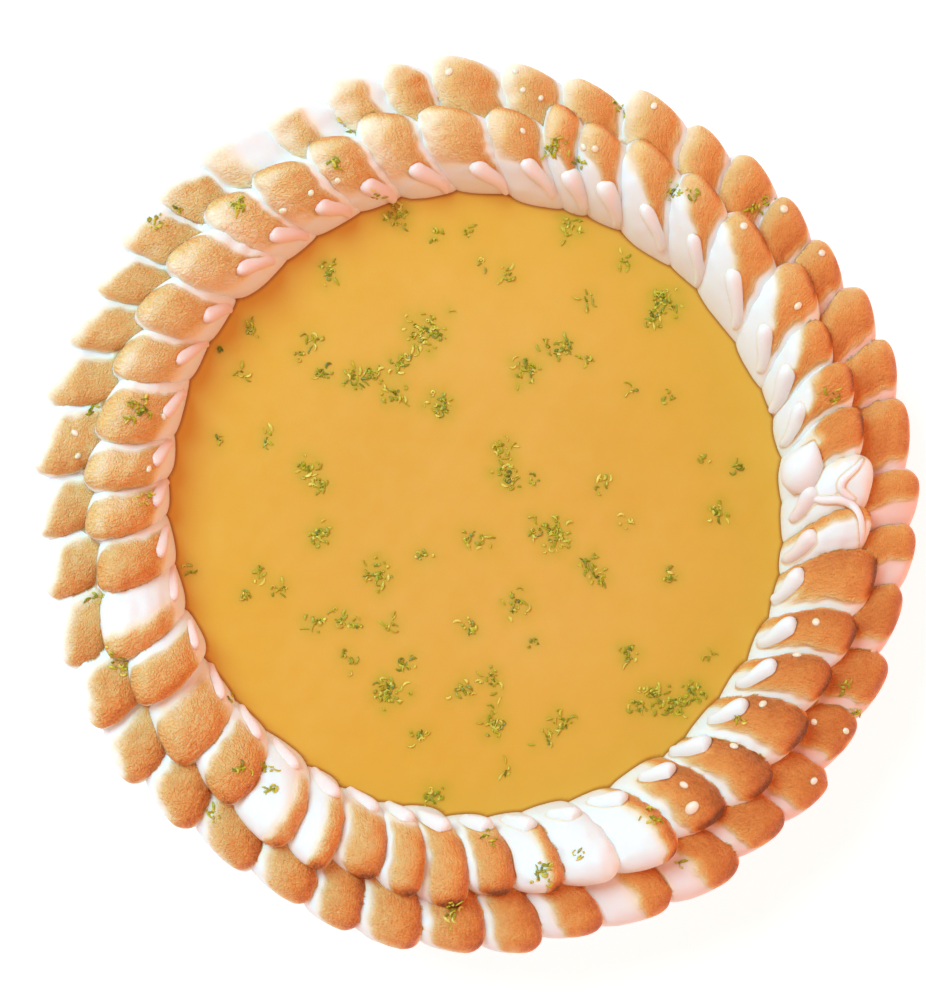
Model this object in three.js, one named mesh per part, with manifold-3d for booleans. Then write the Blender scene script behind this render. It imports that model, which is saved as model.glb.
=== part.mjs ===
import * as THREE from "three";
import { mergeVertices } from "three/addons/utils/BufferGeometryUtils.js";
import Module from "manifold-3d";

// A lemon meringue pie in its own tin, in millimetres, +Z up.
// The origin is the centre of the tin's flat base. Angles run counterclockwise from +X, in degrees.
// Two rows of piped meringue petals ring the filling. The outer row was piped first, then the inner
// row over its tails, both clockwise, so each petal lies over the edge of its counterclockwise neighbour.

const wasm = await Module();
wasm.setup();

// Driving dimensions
const gap = 0.3;
const tin = { baseRadius: 90, mouthRadius: 114, rimRadius: 124.5, height: 29, sheet: 1, beadRadius: 1.4 };
const crust = { base: 4.5, wall: 5, rimTop: 33.5 };
const fillingLevel = 29;
const turnSteps = 46;

// Each row: where its petals start and end, how high and thick they are, and how they bend and fall.
// Inside sweepRadius a petal bends clockwise by sweep degrees times the square of the way in, by a share
// sweepSwing more on one side of the pie and less on the other. roundTip is the share of the length over
// which the tip opens, and kind starts the row's own run of random values.
const outerRow = {
  tipRadius: 130, tipSpread: 2, tailRadius: 107.5, tailSpread: 1.1, sweepRadius: 125,
  centreHeight: 38.2, overHeight: 7.4, underHeight: 4.4, tailDrop: 3, dropPower: 2,
  sweep: 0.014, sweepSwing: 0, roundTip: 0.3, steps: 5, kind: 10,
};
const innerRow = {
  tipRadius: 116.2, tipSpread: 2.2, tailRadius: 90.8, tailSpread: 1.1, sweepRadius: 108,
  centreHeight: 42.8, overHeight: 8.6, underHeight: 5, tailDrop: 21, dropPower: 3.3,
  sweep: 0.019, sweepSwing: 0.45, roundTip: 0.3, steps: 5, kind: 20,
};

// A petal's section: how far it reaches from its crest to its steep edge and under its neighbour, as
// shares of its width, and the powers that make one side steep and the other a soft slope
const crestShare = 0.42;
const tuckShare = 0.84;
const sharpSide = 2.8;
const softSide = 1.5;
const petalTurns = [0, 25, 60, 100, 140, 180, 235, 305];

// How petals differ, how blunt their tips are, and where along them the tail starts to close
const heightSpread = 1.3;
const sweepSpread = 0.2;
const sweepSide = 70;
const bluntness = 2.4;
const tailClose = 0.86;

// How far a tip's counterclockwise side stands out past its clockwise side, for each millimetre across:
// the mean, and how much more it is on the side of the pie at an angle
const slant = { mean: 0.13, swing: 0.08, side: 130 };

// The steep counterclockwise edge of every petal, round the pie
const outerEdges = [
  5, 15, 23, 31, 39, 46.5, 54.5, 62, 71, 80, 88.5, 98.5, 105, 113, 122, 131.5, 139, 146.5, 153.5, 161,
  169, 178, 186, 194, 203, 211.5, 219.5, 228, 237.5, 246, 253, 261, 269.5, 277, 285.5, 295.5, 305.5,
  314, 322, 330.5, 339.5, 349, 357.5,
];
const innerEdges = [
  7.5, 15, 22, 29.5, 39, 50.5, 59.5, 69, 76.5, 82, 91, 101.5, 110.5, 119, 128.5, 137, 146.5, 155,
  163.5, 173, 180, 187, 195, 204.5, 212, 222, 230.5, 239.5, 246, 253.5, 259.5, 266.5, 273.5, 281,
  289.5, 299, 308.5, 317, 326.5, 335, 343, 353, 359.5,
];

// Zest shreds: clusters on the filling, [x, y, how many], with single ones between them and on the petals
const shred = { length: 6, width: 1.4, thickness: 1.1, sink: 0.4, bend: 40 };
const clusterSpread = 3.4;
const zestClusters = [
  [-16, 50, 4], [22, -9, 3], [-26, -55, 3], [54, 59, 3], [9, 8, 3], [-29, -20, 2], [5, -64, 2],
  [55, -57, 3], [-46, -10, 2], [-11, 30, 2], [-34, 38, 2], [34, -18, 1], [-50, 10, 1], [13, 38, 1],
  [-62, -24, 1], [24, -66, 1], [70, -4, 1],
];
const looseShreds = 6;
const looseRadius = 80;
const goldenAngle = 137.5;
const petalShreds = 8;
const petalShredPlace = 0.34;

const radians = (degrees) => (degrees * Math.PI) / 180;

// A repeatable value from -1 to 1 for one petal, shred or other numbered thing
function wobble(index, kind) {
  const wave = Math.sin(index * 12.9898 + kind * 78.233) * 43758.5453;
  return 2 * (wave - Math.floor(wave)) - 1;
}

function toSolid(geometry) {
  const bare = geometry.clone();
  bare.deleteAttribute("normal");
  bare.deleteAttribute("uv");
  const merged = mergeVertices(bare, 1e-4);
  const mesh = new wasm.Mesh({
    numProp: 3,
    vertProperties: new Float32Array(merged.attributes.position.array),
    triVerts: new Uint32Array(merged.index.array),
  });
  mesh.merge();
  return new wasm.Manifold(mesh);
}

// The largest connected skin of a mesh's faces. The rest are sealed hollows, which it fills, and scraps.
function largestSkin(faces, vertexCount) {
  const parent = Array.from({ length: vertexCount }, (_, i) => i);
  const rootOf = (vertex) => {
    let root = vertex;
    while (parent[root] !== root) {
      parent[root] = parent[parent[root]];
      root = parent[root];
    }
    return root;
  };
  for (let i = 0; i < faces.length; i += 3) {
    parent[rootOf(faces[i])] = rootOf(faces[i + 1]);
    parent[rootOf(faces[i + 1])] = rootOf(faces[i + 2]);
  }
  const skins = new Map();
  for (let i = 0; i < faces.length; i += 3) {
    const root = rootOf(faces[i]);
    skins.set(root, [...(skins.get(root) ?? []), i]);
  }
  const starts = [...skins.values()].reduce((best, skin) => (skin.length > best.length ? skin : best));
  return starts.flatMap((i) => [faces[i], faces[i + 1], faces[i + 2]]);
}

function toGeometry(solid) {
  const mesh = solid.getMesh();
  const faces = largestSkin(mesh.triVerts, mesh.vertProperties.length / 3);
  const whole = new THREE.BufferGeometry();
  whole.setAttribute("position", new THREE.BufferAttribute(new Float32Array(mesh.vertProperties), 3));
  whole.setIndex(faces);
  return whole;
}

function joinAll(solids) {
  let layer = solids;
  while (layer.length > 1) {
    const next = [];
    for (let i = 0; i < layer.length; i += 2) {
      next.push(i + 1 < layer.length ? layer[i].add(layer[i + 1]) : layer[i]);
    }
    layer = next;
  }
  return layer[0];
}

// A turned solid about +Z from [radius, height] points
function turned(points) {
  const profile = points.map(([radius, height]) => new THREE.Vector2(radius, height));
  const geometry = new THREE.LatheGeometry(profile, turnSteps);
  geometry.rotateX(Math.PI / 2);
  return geometry;
}

// Points of an arc in the turned section, from one angle to another
function arc(centreRadius, centreHeight, across, up, from, to, steps) {
  const points = [];
  for (let i = 0; i <= steps; i += 1) {
    const angle = radians(from + ((to - from) * i) / steps);
    points.push([centreRadius + across * Math.cos(angle), centreHeight + up * Math.sin(angle)]);
  }
  return points;
}

// The tin's slanted wall: its radius at a height, a distance in from the outer face
function wallRadius(height, inset) {
  const slope = (tin.mouthRadius - tin.baseRadius) / tin.height;
  return tin.baseRadius + slope * height - inset * Math.hypot(1, slope);
}

const insets = {
  crustOutside: tin.sheet + gap,
  crustInside: tin.sheet + gap + crust.wall,
  filling: tin.sheet + gap + crust.wall + gap,
};
const floors = {
  crust: tin.sheet + gap,
  crustTop: tin.sheet + gap + crust.base,
  filling: tin.sheet + gap + crust.base + gap,
};
const cornerRise = 1.2;
const cornerRun = 1.5;

function tinGeometry() {
  const beadCentre = [tin.rimRadius - tin.beadRadius, tin.height - tin.sheet / 2];
  return turned([
    [0, 0],
    [tin.baseRadius - cornerRun, 0],
    [wallRadius(cornerRise, 0), cornerRise],
    [wallRadius(tin.height - tin.sheet, 0), tin.height - tin.sheet],
    ...arc(...beadCentre, tin.beadRadius, tin.beadRadius, -150, 150, 4),
    [wallRadius(tin.height, tin.sheet), tin.height],
    [wallRadius(tin.sheet + cornerRise, tin.sheet), tin.sheet + cornerRise],
    [tin.baseRadius - 2 * cornerRun, tin.sheet],
    [0, tin.sheet],
  ]);
}

// The crust's rim is a low arch that rests on the tin's flange. extra grows it for a clearance.
const rimArch = { outer: 123.4, springing: 30.6, steps: 4 };
function crustRim(extra) {
  const inner = wallRadius(rimArch.springing, insets.crustInside);
  const centre = (rimArch.outer + inner) / 2;
  const across = (rimArch.outer - inner) / 2 + extra;
  const up = crust.rimTop - rimArch.springing + extra;
  return arc(centre, rimArch.springing, across, up, 0, 180, rimArch.steps);
}

function crustGeometry() {
  return turned([
    [0, floors.crust],
    [tin.baseRadius - 2 * cornerRun, floors.crust],
    [wallRadius(floors.crust + cornerRise, insets.crustOutside), floors.crust + cornerRise],
    [wallRadius(tin.height + gap, insets.crustOutside), tin.height + gap],
    [tin.rimRadius - 2 * tin.beadRadius - gap, tin.height + gap],
    ...crustRim(0),
    [wallRadius(floors.crustTop + cornerRise, insets.crustInside), floors.crustTop + cornerRise],
    [tin.baseRadius - 3 * cornerRun, floors.crustTop],
    [0, floors.crustTop],
  ]);
}

function fillingSolid() {
  const puck = turned([
    [0, floors.filling],
    [tin.baseRadius - 3 * cornerRun - gap, floors.filling],
    [wallRadius(floors.filling + cornerRise, insets.filling), floors.filling + cornerRise],
    [wallRadius(fillingLevel, insets.filling), fillingLevel],
    [0, fillingLevel],
  ]);
  return joinAll([toSolid(puck), ...fillingZest()]);
}

// All the space that the meringue keeps clear of: the filling, the crust's rim and the tin's bead
function spaceBelow() {
  const deep = tin.height / 2;
  const outside = tin.rimRadius + gap;
  return toSolid(turned([
    [0, deep],
    [outside, deep],
    [outside, tin.height],
    ...crustRim(gap),
    [wallRadius(fillingLevel + gap, insets.filling), fillingLevel + gap],
    [0, fillingLevel + gap],
  ]));
}

// The plain ring that the petals lie on and hide, from radii and heights that stay inside them
function meringueCore() {
  const loop = [
    [94.5, 28], [120, 28], [122.3, 34.5], [120.5, 38.5], [114, 42], [107.5, 44.5], [102, 42.5],
    [98, 37.5], [95.3, 31.5],
  ];
  return toSolid(turned([...loop, loop[0]]));
}

// One petal's own measures, from its row, its edge and its neighbour's edge
function petalOf(row, edges, index) {
  const before = index > 0 ? edges[index - 1] : edges[edges.length - 1] - 360;
  const swing = row.sweepSwing * Math.cos(radians(edges[index] - sweepSide));
  return {
    row,
    edge: edges[index],
    width: edges[index] - before,
    tip: row.tipRadius + row.tipSpread * wobble(index, row.kind),
    rise: heightSpread * wobble(index, row.kind + 1),
    sweep: row.sweep * (1 + swing + sweepSpread * wobble(index, row.kind + 2)),
    slant: slant.mean + slant.swing * Math.cos(radians(edges[index] - slant.side)),
    tail: row.tailRadius + row.tailSpread * wobble(index, row.kind + 3),
  };
}

// Along a petal, from 0 at its tip to 1 at its tail: the crest's radius, angle and height, and the
// share of its full section that the petal has there
function alongPetal(petal, along) {
  const { row } = petal;
  const radius = petal.tip + (petal.tail - petal.tip) * along;
  const wayIn = Math.max(row.sweepRadius - radius, 0);
  const angle = petal.edge - crestShare * petal.width - petal.sweep * wayIn ** 2;
  const opening = Math.min(along / row.roundTip, 1);
  const closing = Math.max((along - tailClose) / (1 - tailClose), 0);
  const tipShare = (1 - (1 - opening) ** bluntness) ** (1 / bluntness);
  const share = tipShare * Math.sqrt(Math.max(1 - closing ** 2, 0));
  const centre = row.centreHeight + petal.rise - row.tailDrop * along ** row.dropPower;
  return { radius, angle, share, centre };
}

// A point round a petal's section: steep on the counterclockwise side, a long soft slope on the other
function petalPoint(petal, along, turn) {
  const { radius, angle, share, centre } = alongPetal(petal, along);
  const across = Math.cos(turn);
  const up = Math.sin(turn);
  const power = 2 / (across > 0 ? sharpSide : softSide);
  const reach = (across > 0 ? crestShare : tuckShare) * petal.width * share;
  const aside = radians(reach * Math.sign(across) * Math.abs(across) ** power);
  const thickness = up > 0 ? petal.row.overHeight : petal.row.underHeight;
  const height = centre + thickness * share * Math.sign(up) * Math.abs(up) ** power;
  const flat = radians(angle) + aside;
  const away = radius * (1 + petal.slant * (1 - along) * aside);
  return [away * Math.cos(flat), away * Math.sin(flat), height];
}

// A closed skin over rings of points, with a point at each end
function skinned(rings, firstPoint, lastPoint) {
  const sides = rings[0].length;
  const positions = [firstPoint, ...rings.flat(), lastPoint];
  const last = positions.length - 1;
  const faces = [];
  for (let j = 0; j < sides; j += 1) {
    const k = (j + 1) % sides;
    faces.push([0, 1 + j, 1 + k]);
    for (let i = 0; i + 1 < rings.length; i += 1) {
      const near = 1 + i * sides;
      const far = near + sides;
      faces.push([near + j, far + j, far + k], [near + j, far + k, near + k]);
    }
    faces.push([last, last - sides + k, last - sides + j]);
  }
  const geometry = new THREE.BufferGeometry();
  geometry.setAttribute("position", new THREE.BufferAttribute(new Float32Array(positions.flat()), 3));
  geometry.setIndex(faces.flat());
  return geometry;
}

function petalSolid(petal) {
  const rings = [];
  const { steps } = petal.row;
  for (let i = 1; i < steps; i += 1) {
    const along = (1 - Math.cos((Math.PI * i) / steps)) / 2;
    const ring = [];
    for (const turn of petalTurns) {
      ring.push(petalPoint(petal, along, radians(turn)));
    }
    rings.push(ring);
  }
  return toSolid(skinned(rings, petalPoint(petal, 0, 0), petalPoint(petal, 1, 0)));
}

function meringueSolid() {
  const solids = [meringueCore()];
  for (const [row, edges] of [[outerRow, outerEdges], [innerRow, innerEdges]]) {
    for (let i = 0; i < edges.length; i += 1) {
      solids.push(petalSolid(petalOf(row, edges, i)));
    }
  }
  return joinAll([...solids, ...petalZest()]).subtract(spaceBelow());
}

// One shred: a bent strip with pointed ends, lying level at a place, turned to a heading
function shredSolid(place, heading, size) {
  const half = (shred.length * size) / 2;
  const rings = [];
  const spine = (share) => {
    const turn = radians(heading + shred.bend * share);
    return [place[0] + half * share * Math.cos(turn), place[1] + half * share * Math.sin(turn), turn];
  };
  for (const share of [-0.6, 0, 0.6]) {
    const [x, y, turn] = spine(share);
    const side = [(-shred.width / 2) * Math.sin(turn), (shred.width / 2) * Math.cos(turn)];
    const top = place[2] + shred.thickness - shred.sink;
    const bottom = place[2] - shred.sink;
    rings.push([
      [x + side[0], y + side[1], top], [x + side[0], y + side[1], bottom],
      [x - side[0], y - side[1], bottom], [x - side[0], y - side[1], top],
    ]);
  }
  const end = (share) => [...spine(share).slice(0, 2), place[2] + shred.sink / 2];
  return toSolid(skinned(rings, end(-1), end(1)));
}

function fillingZest() {
  const solids = [];
  const lay = (x, y, index) => {
    const size = 0.85 + 0.3 * wobble(index, 30);
    solids.push(shredSolid([x, y, fillingLevel], 180 * wobble(index, 31), size));
  };
  let index = 0;
  for (const [x, y, count] of zestClusters) {
    for (let i = 0; i < count; i += 1) {
      index += 1;
      lay(x + clusterSpread * wobble(index, 32), y + clusterSpread * wobble(index, 33), index);
    }
  }
  for (let i = 0; i < looseShreds; i += 1) {
    index += 1;
    const turn = radians(i * goldenAngle);
    const radius = looseRadius * Math.sqrt((i + 0.7) / looseShreds);
    lay(radius * Math.cos(turn), radius * Math.sin(turn), index);
  }
  return solids;
}

// Shreds on the crests of petals spread round both rows, each along its petal
function petalZest() {
  const solids = [];
  for (let i = 0; i < petalShreds; i += 1) {
    const [row, edges] = i % 2 ? [outerRow, outerEdges] : [innerRow, innerEdges];
    const petal = petalOf(row, edges, Math.floor(((i + 0.4) * edges.length) / petalShreds));
    const { radius, angle, share, centre } = alongPetal(petal, petalShredPlace);
    const flat = radians(angle);
    const height = centre + row.overHeight * share - shred.sink;
    const place = [radius * Math.cos(flat), radius * Math.sin(flat), height];
    solids.push(shredSolid(place, angle + 25 * wobble(i, 34), 0.75));
  }
  return solids;
}

function part(name, geometry, color, roughness, metalness) {
  const material = new THREE.MeshStandardMaterial({ color, roughness, metalness });
  const mesh = new THREE.Mesh(geometry, material);
  mesh.name = name;
  return mesh;
}

const group = new THREE.Group();
group.add(part("tin", tinGeometry(), 0xb9bbbd, 0.35, 1));
group.add(part("crust", crustGeometry(), 0xc48a4a, 0.8, 0));
group.add(part("filling", toGeometry(fillingSolid()), 0xe8b24e, 0.35, 0));
group.add(part("meringue", toGeometry(meringueSolid()), 0xf3e2c8, 0.6, 0));

export default group;
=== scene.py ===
import math
from types import SimpleNamespace

import bmesh
import bpy
import numpy as np
from mathutils import Matrix, Vector
from mathutils.bvhtree import BVHTree
from mathutils.kdtree import KDTree


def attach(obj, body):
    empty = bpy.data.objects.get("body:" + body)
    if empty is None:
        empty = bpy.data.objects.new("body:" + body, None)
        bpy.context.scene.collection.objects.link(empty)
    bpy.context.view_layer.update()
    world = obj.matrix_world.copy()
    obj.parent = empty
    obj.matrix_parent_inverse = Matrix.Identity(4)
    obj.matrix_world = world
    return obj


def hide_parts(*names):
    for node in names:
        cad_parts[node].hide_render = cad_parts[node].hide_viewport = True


# A lemon meringue pie seen from nearly overhead. Lengths are in millimetres and angles in degrees,
# counterclockwise from +X, until a mesh is made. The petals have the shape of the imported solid's,
# with finer steps, soft lumps and the curled tongues at their inner ends.

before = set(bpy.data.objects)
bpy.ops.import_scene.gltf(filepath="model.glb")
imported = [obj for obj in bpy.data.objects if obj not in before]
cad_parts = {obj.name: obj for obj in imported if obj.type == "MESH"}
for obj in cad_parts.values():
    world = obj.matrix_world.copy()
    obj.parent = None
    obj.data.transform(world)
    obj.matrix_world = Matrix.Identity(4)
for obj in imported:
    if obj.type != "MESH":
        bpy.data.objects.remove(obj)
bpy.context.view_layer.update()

MM = 0.001
TAU = 2 * math.pi

# Tin, crust and filling
gap = 0.3
tin_base_radius, tin_mouth_radius, tin_rim_radius = 90.0, 114.0, 124.5
tin_height, tin_sheet, tin_bead = 29.0, 1.0, 1.4
crust_base, crust_wall, crust_rim_top, crust_spring, crust_rim_outer = 4.5, 5.0, 33.5, 30.6, 123.4
filling_level = 29.0
corner_rise, corner_run = 1.2, 1.5

# The two rows of petals: where they start and end, their height and thickness, how they bend and fall,
# and the angle of each petal's counterclockwise edge
outer_row = SimpleNamespace(
    tip_radius=130.0, tip_spread=2.0, tail_radius=107.5, tail_spread=1.1, sweep_radius=125.0,
    centre_height=38.2, over_height=7.4, under_height=4.4, tail_drop=3.0, drop_power=2.0,
    sweep=0.014, sweep_swing=0.0, round_tip=0.3, kind=10, edges=(
     5, 15, 23, 31, 39, 46.5, 54.5, 62, 71, 80, 88.5, 98.5, 105, 113, 122, 131.5, 139, 146.5, 153.5,
     161, 169, 178, 186, 194, 203, 211.5, 219.5, 228, 237.5, 246, 253, 261, 269.5, 277, 285.5, 295.5,
     305.5, 314, 322, 330.5, 339.5, 349, 357.5),
)
inner_row = SimpleNamespace(
    tip_radius=116.2, tip_spread=2.2, tail_radius=90.8, tail_spread=1.1, sweep_radius=108.0,
    centre_height=42.8, over_height=8.6, under_height=5.0, tail_drop=21.0, drop_power=3.3,
    sweep=0.019, sweep_swing=0.45, round_tip=0.3, kind=20, edges=(
     7.5, 15, 22, 29.5, 39, 50.5, 59.5, 69, 76.5, 82, 91, 101.5, 110.5, 119, 128.5, 137, 146.5, 155,
     163.5, 173, 180, 187, 195, 204.5, 212, 222, 230.5, 239.5, 246, 253.5, 259.5, 266.5, 273.5, 281,
     289.5, 299, 308.5, 317, 326.5, 335, 343, 353, 359.5),
)
crest_share, tuck_share = 0.42, 0.84
sharp_side, soft_side = 2.8, 1.5
height_spread, sweep_spread, sweep_side = 1.3, 0.2, 70
bluntness, tail_close = 2.4, 0.86
slant_mean, slant_swing, slant_side = 0.13, 0.08, 130
petal_steps, petal_top_sides, petal_bottom_sides = 44, 34, 6
petal_length, seam_reach = 27, 3.0
top_from, top_to = -25, 200
lump_waves, lump_size, lump_height, lump_reach = 7, 5.5, 0.3, 9
skin_depth = 0.4

# Steps round the turned pieces, kinds of chance for wobble and seeds for lumps
filling_steps, crust_steps, tin_steps, core_steps = 480, 360, 180, 96
length_luck, place_luck, size_luck, bead_luck = 41, 42, 43, 51
ripple_seed, swell_seed, dimple_seed, crumb_seed, blister_seed = 5, 11, 12, 21, 22

# Camera and floor. The picture's size is in pixels, and nearest and farthest seen are in metres.
photo_width, photo_height, photo_long_side = 926, 1000, 1000
mm_per_pixel = 0.2925
camera_distance = 700.0
camera_target = Vector((-6.8, 0.0, 35.0))
camera_back = Vector((-0.1646, -0.0784, 0.983)).normalized()
sensor = 36.0
lens = sensor * camera_distance / (photo_long_side * mm_per_pixel)
nearest_seen, farthest_seen = 0.01, 20
floor_reach = 9000


def wobble(index, kind):
    """A repeatable value from -1 to 1 for one numbered thing."""
    wave = math.sin(index * 12.9898 + kind * 78.233) * 43758.5453
    return 2 * (wave - math.floor(wave)) - 1


def smooth(value, low, high):
    """0 below low, 1 above high and a soft rise between; low may be the larger one."""
    share = np.clip((value - low) / (high - low), 0, 1)
    return share * share * (3 - 2 * share)


def near_angle(angle, centre, width):
    """1 near an angle round the pie, 0 from width away, soft between."""
    return smooth(np.abs((angle - centre + 180) % 360 - 180), width, width * 0.3)


def lumps(points, size, seed):
    """A smooth value of about -1 to 1 at each point, with bumps of one size."""
    draw = np.random.default_rng(seed)
    total = np.zeros(points.shape[:-1])
    for _ in range(lump_waves):
        heading = draw.normal(size=3)
        heading *= TAU / (size * draw.uniform(0.6, 1.6) * np.linalg.norm(heading))
        total += np.sin(points @ heading + draw.uniform(0, TAU))
    return total / 2.6


def mesh_of(name, points, faces):
    """A mesh object from points in millimetres and lists of corners."""
    mesh = bpy.data.meshes.new(name)
    mesh.from_pydata((np.asarray(points, float).reshape(-1, 3) * MM).tolist(), [], faces)
    mesh.update()
    made = bpy.data.objects.new(name, mesh)
    bpy.context.scene.collection.objects.link(made)
    return made


def read_rows(items, name, width, kind=float):
    """One property of all items of a mesh, a row for each item."""
    flat = np.empty(len(items) * width, kind)
    items.foreach_get(name, flat)
    return flat.reshape(-1, width)


def points_of(made):
    """An object's points in millimetres."""
    return read_rows(made.data.vertices, "co", 3) / MM


def give_values(made, name, values):
    """Stores a value or a vector for each point under a name that materials read."""
    values = np.asarray(values, np.float32)
    kind, field = ("FLOAT", "value") if values.ndim == 1 else ("FLOAT_VECTOR", "vector")
    made.data.attributes.new(name, kind, "POINT").data.foreach_set(field, values.ravel())


def dress(made, material, sharp_angle=None):
    """Gives a piece its material and smooth shading, with edges sharp past an angle."""
    made.data.materials.append(material)
    made.data.polygons.foreach_set("use_smooth", [True] * len(made.data.polygons))
    if sharp_angle is not None:
        made.data.set_sharp_from_angle(angle=math.radians(sharp_angle))


def tube_faces(rings, sides):
    """Faces of a closed skin over rings of points, with one point before and one after them."""
    faces = []
    last = 1 + rings * sides
    for j in range(sides):
        k = (j + 1) % sides
        faces.append((0, 1 + j, 1 + k))
        faces.append((last, last - sides + k, last - sides + j))
        for i in range(rings - 1):
            near = 1 + i * sides
            far = near + sides
            faces.append((near + j, far + j, far + k, near + k))
    return faces


def turned(name, profile, steps, relief=None):
    """A closed solid turned about +Z from a profile that starts and ends on the axis.
    relief moves the points of the turned part."""
    inner = np.asarray(profile[1:-1], float)
    turns = np.radians(np.arange(steps) * 360 / steps)
    radius, height = inner[:, 0][:, None], inner[:, 1][:, None]
    rings = np.stack([radius * np.cos(turns), radius * np.sin(turns), height + 0 * turns], -1)
    if relief:
        rings = relief(rings)
    points = np.concatenate([[[0, 0, profile[0][1]]], rings.reshape(-1, 3), [[0, 0, profile[-1][1]]]])
    return mesh_of(name, points, [face[::-1] for face in tube_faces(len(inner), steps)])


def arc(centre_radius, centre_height, across, up, start, end, steps):
    turns = np.radians(np.linspace(start, end, steps + 1))
    return [(centre_radius + across * math.cos(t), centre_height + up * math.sin(t)) for t in turns]


def wall_radius(height, inset):
    """The tin's slanted wall: its radius at a height, a distance in from the outer face."""
    slope = (tin_mouth_radius - tin_base_radius) / tin_height
    return tin_base_radius + slope * height - inset * math.hypot(1, slope)


crust_outside = tin_sheet + gap
crust_inside = crust_outside + crust_wall
filling_inset = crust_inside + gap
crust_floor = tin_sheet + gap
crust_top = crust_floor + crust_base
filling_floor = crust_top + gap


# Sight lines

def camera_axes():
    across = Vector((camera_back.z, 0, -camera_back.x)).normalized()
    return across, camera_back.cross(across), camera_back


def photo_ray(column, line):
    """Start and heading, in millimetres, of the sight line through a pixel of the photograph."""
    across, up, back = camera_axes()
    scale = sensor / photo_long_side
    heading = (across * (column - photo_width / 2) * scale
               - up * (line - photo_height / 2) * scale - back * lens)
    return camera_target + back * camera_distance, heading.normalized()


def seen_at(tree, column, line):
    """What a pixel of the photograph shows of a surface: the place, its normal and two directions
    along it, or None."""
    place, normal, _, _ = tree.ray_cast(*photo_ray(column, line))
    if place is None:
        return None
    aside = normal.orthogonal().normalized()
    return place, normal, aside, normal.cross(aside)


def tree_of(*pieces):
    """A search tree over the faces of one or more objects, in millimetres."""
    points, faces = [], []
    for piece in pieces:
        first = len(points)
        points.extend(points_of(piece).tolist())
        faces.extend(tuple(first + corner for corner in p.vertices) for p in piece.data.polygons)
    return BVHTree.FromPolygons(points, faces)


# Meringue petals

def petal_of(row, index):
    """One petal's own measures, from its row, its edge and its neighbour's edge."""
    edge = row.edges[index]
    before = row.edges[index - 1] - (360 if index == 0 else 0)
    swing = row.sweep_swing * math.cos(math.radians(edge - sweep_side))
    return SimpleNamespace(
        row=row, index=index, edge=edge, width=edge - before,
        tip=row.tip_radius + row.tip_spread * wobble(index, row.kind),
        rise=height_spread * wobble(index, row.kind + 1),
        sweep=row.sweep * (1 + swing + sweep_spread * wobble(index, row.kind + 2)),
        slant=slant_mean + slant_swing * math.cos(math.radians(edge - slant_side)),
        tail=row.tail_radius + row.tail_spread * wobble(index, row.kind + 3),
    )


def swept(petal, radius):
    """How far the petal has bent clockwise at a radius."""
    return petal.sweep * np.maximum(petal.row.sweep_radius - radius, 0) ** 2


def along_petal(petal, along):
    """The crest's radius, angle and height and the section's share, from 0 at the tip to 1."""
    row = petal.row
    radius = petal.tip + (petal.tail - petal.tip) * along
    angle = petal.edge - crest_share * petal.width - swept(petal, radius)
    opening = np.minimum(along / row.round_tip, 1)
    closing = np.maximum((along - tail_close) / (1 - tail_close), 0)
    share = (1 - (1 - opening) ** bluntness) ** (1 / bluntness) * np.sqrt(np.maximum(1 - closing**2, 0))
    return radius, angle, share, row.centre_height + petal.rise - row.tail_drop * along**row.drop_power


def petal_surface(petal, along, turn):
    """Points round the petal's section: steep counterclockwise, a long soft slope clockwise."""
    radius, angle, share, centre = along_petal(petal, along)
    across, up = np.cos(turn), np.sin(turn)
    power = np.where(across > 0, 2 / sharp_side, 2 / soft_side)
    reach = np.where(across > 0, crest_share, tuck_share) * petal.width * share
    aside = np.radians(reach * np.sign(across) * np.abs(across) ** power)
    flat = np.radians(angle) + aside
    radius = radius * (1 + petal.slant * (1 - along) * aside)
    thickness = np.where(up > 0, petal.row.over_height, petal.row.under_height)
    height = centre + thickness * share * np.sign(up) * np.abs(up) ** power
    return np.stack([radius * np.cos(flat), radius * np.sin(flat), height], -1)


def top_height(petal, radius, angle):
    """How high the petal's upper skin is at a place, or -inf outside it."""
    along = (radius - petal.tip) / (petal.tail - petal.tip)
    if not 0 < along < 1:
        return -math.inf
    _, crest, share, centre = along_petal(petal, along)
    aside = angle - crest
    reach = (crest_share if aside > 0 else tuck_share) * petal.width * share
    if abs(aside) >= reach:
        return -math.inf
    power = sharp_side if aside > 0 else soft_side
    return centre + petal.row.over_height * share * (1 - (abs(aside) / reach) ** power) ** (1 / power)


def section_turns():
    """Turns round a section that leave even steps over its top and long ones under it."""
    fine = np.radians(np.linspace(top_from, top_to, 2000))
    common = SimpleNamespace(row=inner_row, edge=0.0, width=8.4, tip=inner_row.tip_radius, rise=0.0,
                             sweep=0.0, slant=0.0, tail=inner_row.tail_radius)
    path = petal_surface(common, np.full(fine.shape, 0.6), fine)
    length = np.concatenate([[0], np.cumsum(np.linalg.norm(np.diff(path, axis=0), axis=1))])
    top = np.interp(np.linspace(0, length[-1], petal_top_sides), length, fine)
    under = np.radians(np.linspace(top_to, top_from + 360, petal_bottom_sides + 2)[1:-1])
    return np.concatenate([top, under])


def petal_steps_along():
    even = np.linspace(0, 1, petal_steps + 1)
    rounded = (1 - np.cos(np.pi * even)) / 2
    return ((even + rounded) / 2)[1:-1]


def eased(path):
    """A path with its bends softened. Its ends stay."""
    for _ in range(6):
        path[1:-1] = (path[:-2] + 2 * path[1:-1] + path[2:]) / 4
    return path


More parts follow.
